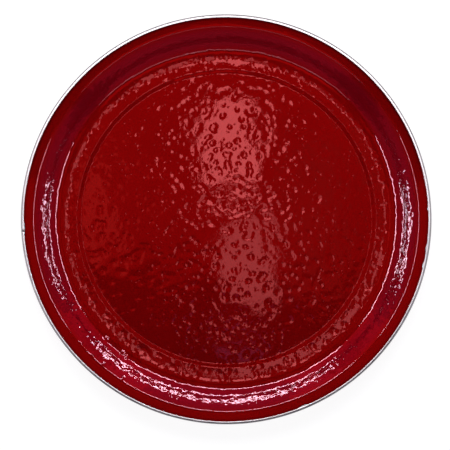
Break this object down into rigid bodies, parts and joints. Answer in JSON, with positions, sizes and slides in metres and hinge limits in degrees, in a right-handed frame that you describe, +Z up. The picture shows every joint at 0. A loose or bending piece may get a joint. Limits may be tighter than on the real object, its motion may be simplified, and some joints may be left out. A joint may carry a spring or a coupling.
{
  "type": "round serving tray",
  "caption": "Round shallow serving tray in glossy red enamelled steel with a small pressed step in its floor, a sloped wall, a narrow flange and a thin rolled stainless rim.",
  "frame": {"origin": "centre of the flat underside the tray rests on, at table level", "axes": "+Z up out of the tray's face, along its axis; the rim band's butt seam is on the -X side"},
  "size_m": [0.5078, 0.5078, 0.033],
  "materials": {
    "sheet_steel": "satin",
    "face_enamel": "gloss",
    "back_enamel": "gloss",
    "stainless": "polished"
  },
  "bodies": {
    "root": {"steel_pan": "sheet_steel", "face_enamel": "face_enamel", "back_enamel": "back_enamel", "rim_band": "stainless"}
  },
  "joints": []
}
